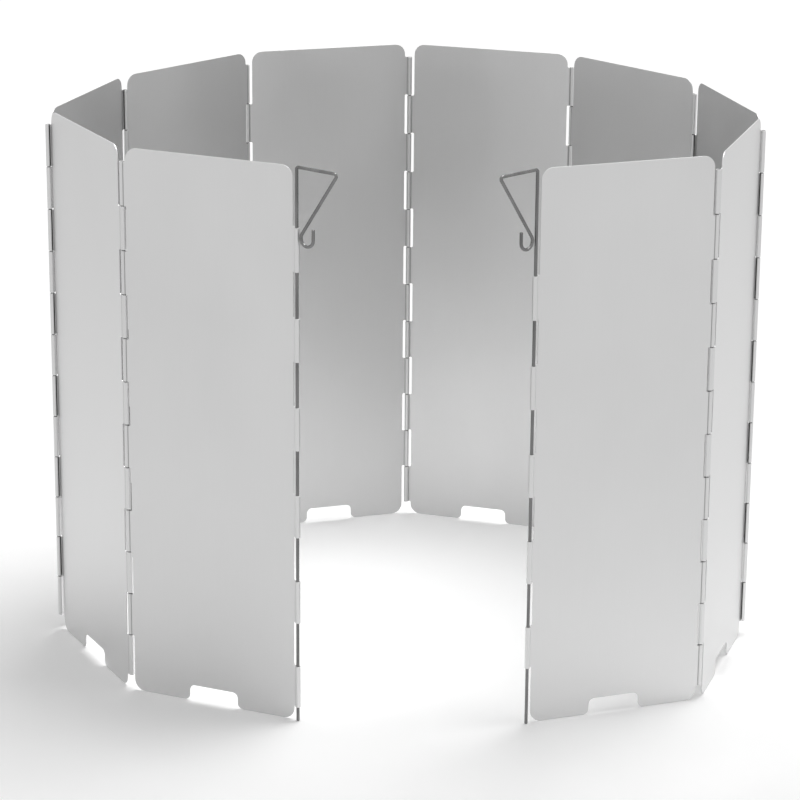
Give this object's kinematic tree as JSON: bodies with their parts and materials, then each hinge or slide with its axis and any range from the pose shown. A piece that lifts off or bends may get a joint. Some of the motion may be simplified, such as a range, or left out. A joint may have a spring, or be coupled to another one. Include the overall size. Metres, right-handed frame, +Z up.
{
  "type": "stove windscreen",
  "caption": "Folding sheet-metal windscreen for a camping stove: panels hinged on wires, set in an open ring, with a vent notch in each foot and a wire stake in each free edge.",
  "frame": {"origin": "on the ground, at the middle of the footprint's box as the ring is set out", "axes": "+Z up, -Y out through the open front of the ring, +X to the right as seen from the front"},
  "size_m": [0.3128, 0.2842, 0.2405],
  "materials": {
    "sheet": "satin rolled sheet",
    "pin_wire": "drawn steel wire",
    "stake_wire": "smooth drawn steel wire"
  },
  "bodies": {
    "panel_1": {"panel_1": "sheet", "hinge_pin_1": "pin_wire"},
    "panel_2": {"panel_2": "sheet", "hinge_pin_2": "pin_wire"},
    "panel_3": {"panel_3": "sheet", "hinge_pin_3": "pin_wire"},
    "panel_4": {"panel_4": "sheet", "hinge_pin_4": "pin_wire"},
    "panel_5": {"panel_5": "sheet", "hinge_pin_5": "pin_wire"},
    "panel_6": {"panel_6": "sheet", "hinge_pin_6": "pin_wire"},
    "panel_7": {"panel_7": "sheet", "hinge_pin_7": "pin_wire"},
    "panel_8": {"panel_8": "sheet", "hinge_pin_8": "pin_wire"},
    "panel_9": {"panel_9": "sheet", "hinge_pin_9": "pin_wire"},
    "panel_10": {"panel_10": "sheet"},
    "stake_left": {"stake_left": "stake_wire"},
    "stake_right": {"stake_right": "stake_wire"}
  },
  "joints": [
    {"name": "hinge_4", "type": "hinge", "parent": "panel_5", "child": "panel_4", "pos_m": [-0.0756, 0.11773, 0.12], "axis": [0, 0, 1], "range_deg": [-210, 0]},
    {"name": "hinge_3", "type": "hinge", "parent": "panel_4", "child": "panel_3", "pos_m": [-0.12839, 0.05626, 0.12], "axis": [0, 0, 1], "range_deg": [0, 156]},
    {"name": "hinge_2", "type": "hinge", "parent": "panel_3", "child": "panel_2", "pos_m": [-0.15523, -0.02019, 0.12], "axis": [0, 0, 1], "range_deg": [-225, 0]},
    {"name": "hinge_1", "type": "hinge", "parent": "panel_2", "child": "panel_1", "pos_m": [-0.11676, -0.09149, 0.12], "axis": [0, 0, 1], "range_deg": [0, 141]},
    {"name": "hinge_5", "type": "hinge", "parent": "panel_5", "child": "panel_6", "pos_m": [0.00202, 0.14095, 0.12], "axis": [0, 0, -1], "range_deg": [0, 144]},
    {"name": "hinge_6", "type": "hinge", "parent": "panel_6", "child": "panel_7", "pos_m": [0.07964, 0.11773, 0.12], "axis": [0, 0, -1], "range_deg": [-210, 0]},
    {"name": "hinge_7", "type": "hinge", "parent": "panel_7", "child": "panel_8", "pos_m": [0.13243, 0.05626, 0.12], "axis": [0, 0, -1], "range_deg": [0, 153]},
    {"name": "hinge_8", "type": "hinge", "parent": "panel_8", "child": "panel_9", "pos_m": [0.15523, -0.02149, 0.12], "axis": [0, 0, -1], "range_deg": [-213, 0]},
    {"name": "hinge_9", "type": "hinge", "parent": "panel_9", "child": "panel_10", "pos_m": [0.12839, -0.09793, 0.12], "axis": [0, 0, -1], "range_deg": [0, 128]},
    {"name": "stake_left_slide", "type": "slide", "parent": "panel_1", "child": "stake_left", "axis": [0, 0, 1], "range_m": [-0.022, 0.2]},
    {"name": "stake_right_slide", "type": "slide", "parent": "panel_10", "child": "stake_right", "axis": [0, 0, 1], "range_m": [-0.041, 0.18]}
  ],
  "couplings": [
    {"joint": "hinge_1", "follows": "hinge_4", "ratio": -0.67142},
    {"joint": "hinge_2", "follows": "hinge_4", "ratio": 1.0714},
    {"joint": "hinge_3", "follows": "hinge_4", "ratio": -0.74285},
    {"joint": "hinge_5", "follows": "hinge_4", "ratio": -0.68571},
    {"joint": "hinge_6", "follows": "hinge_4", "ratio": 0.99999},
    {"joint": "hinge_7", "follows": "hinge_4", "ratio": -0.72857},
    {"joint": "hinge_8", "follows": "hinge_4", "ratio": 1.0143},
    {"joint": "hinge_9", "follows": "hinge_4", "ratio": -0.60952}
  ]
}
